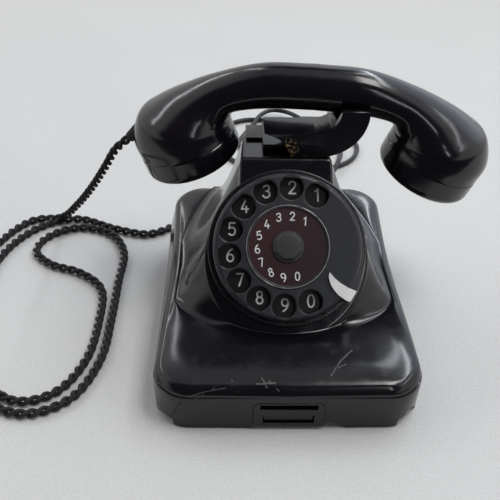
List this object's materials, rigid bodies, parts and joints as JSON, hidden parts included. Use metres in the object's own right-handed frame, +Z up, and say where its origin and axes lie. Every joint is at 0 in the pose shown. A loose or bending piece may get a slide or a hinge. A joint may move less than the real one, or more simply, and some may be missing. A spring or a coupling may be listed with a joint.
{
  "type": "rotary dial desk telephone",
  "caption": "Black moulded desk telephone with a rotary dial, a sprung cradle, a handset on a cloth cord and an internal bell set.",
  "frame": {"origin": "on the table, under the middle of the telephone's box without its cords", "axes": "+X to the caller's right, along the handset; +Y from the dial to the back; +Z up"},
  "size_m": [0.3443, 0.399, 0.1683],
  "materials": {
    "case_bakelite": "moulded black phenolic, glossy, worn",
    "handset_bakelite": "moulded black phenolic, glossy",
    "trim_bakelite": "moulded black phenolic, slightly dull",
    "wheel_enamel": "black enamel, worn to a satin sheen",
    "plate_enamel": "black enamel with white numerals",
    "card": "dark red-brown card under clear lacquer",
    "nickel": "nickel plate, lightly worn",
    "steel": "plain sheet steel, oiled",
    "zinc_steel": "zinc-plated steel, dull",
    "brass": "brass, slightly tarnished",
    "winding": "lacquered copper wire and paper",
    "terminal_resin": "brown moulded resin",
    "capacitor_can": "drawn can, dull",
    "rubber": "black rubber, matt",
    "handset_cord_cloth": "black braided cotton, twisted",
    "line_cord_cover": "black smooth cover",
    "tie": "black tape"
  },
  "bodies": {
    "telephone": {"case_shell": "case_bakelite", "base_plate": "steel", "rubber_feet": "rubber", "base_screws": "zinc_steel", "front_key_frame": "trim_bakelite", "key_contacts": "brass", "dial_housing": "trim_bakelite", "number_plate": "plate_enamel", "finger_stop": "nickel", "dial_bridge": "zinc_steel", "return_spring": "steel", "pulse_contacts": "brass", "guide_bushes": "brass", "cradle_spring": "steel", "hook_bracket": "zinc_steel", "lever_pin": "steel", "hook_contacts": "brass", "bell_gongs": "nickel", "bell_posts": "zinc_steel", "gong_screws": "zinc_steel", "ringer_frame": "steel", "ringer_coils": "winding", "clapper_pin": "steel", "induction_coil": "winding", "capacitor": "capacitor_can", "terminal_block": "terminal_resin", "rear_handset_gland": "rubber", "rear_line_gland": "rubber", "handset_cord": "handset_cord_cloth", "line_cord": "line_cord_cover", "line_coil": "line_cord_cover", "line_tail": "line_cord_cover", "line_tie": "tie", "line_plug": "trim_bakelite", "plug_pins": "brass"},
    "cradle": {"cradle": "trim_bakelite", "cradle_rods": "steel"},
    "handset": {"handset_shell": "handset_bakelite", "ear_cap": "handset_bakelite", "mouth_cap": "handset_bakelite", "receiver_capsule": "capacitor_can", "transmitter_capsule": "capacitor_can", "handset_gland": "rubber"},
    "dial_wheel": {"finger_wheel": "wheel_enamel", "number_card": "card", "card_ring": "nickel", "centre_cap": "trim_bakelite", "dial_shaft": "steel", "main_gear": "brass"},
    "pulse_cam": {"pulse_cam": "steel"},
    "governor": {"governor": "steel"},
    "hook_lever": {"hook_lever": "zinc_steel"},
    "clapper": {"clapper": "zinc_steel"},
    "front_key": {"front_key": "trim_bakelite"}
  },
  "joints": [
    {"name": "dial_turn", "type": "hinge", "parent": "telephone", "child": "dial_wheel", "pos_m": [-0.01345, -0.02405, 0.078], "axis": [0, 0.766, -0.6428], "range_deg": [0, 312], "stiffness_Nm_per_rad": 0.012, "springref_deg": -34.38},
    {"name": "pulse_turn", "type": "hinge", "parent": "telephone", "child": "pulse_cam", "pos_m": [0.00798, -0.01898, 0.0607], "axis": [0, 0.766, -0.6428], "range_deg": [-1024, 0]},
    {"name": "governor_turn", "type": "hinge", "parent": "telephone", "child": "governor", "pos_m": [-0.01345, 0.00283, 0.07503], "axis": [1, 0, 0], "range_deg": [0, 3750]},
    {"name": "cradle_slide", "type": "slide", "parent": "telephone", "child": "cradle", "axis": [0, 0, 1], "range_m": [0, 0.005]},
    {"name": "hook_turn", "type": "hinge", "parent": "telephone", "child": "hook_lever", "pos_m": [-0.02845, 0.03465, 0.09], "axis": [0, -1, 0], "range_deg": [0, 18.4]},
    {"name": "handset_lift", "type": "slide", "parent": "cradle", "child": "handset", "axis": [0, 0, 1], "range_m": [0, 0.08]},
    {"name": "clapper_swing", "type": "hinge", "parent": "telephone", "child": "clapper", "pos_m": [-0.01345, 0.02765, 0.02], "axis": [0, 0, 1], "range_deg": [-4.5, 4.5]},
    {"name": "key_press", "type": "slide", "parent": "telephone", "child": "front_key", "axis": [0, 1, 0], "range_m": [0, 0.0025], "stiffness_N_per_m": 400, "springref_m": -0.001}
  ],
  "couplings": [
    {"joint": "pulse_turn", "follows": "dial_turn", "ratio": -3.2727},
    {"joint": "governor_turn", "follows": "dial_turn", "ratio": 12},
    {"joint": "hook_turn", "follows": "cradle_slide", "rad_per_m": 64}
  ]
}
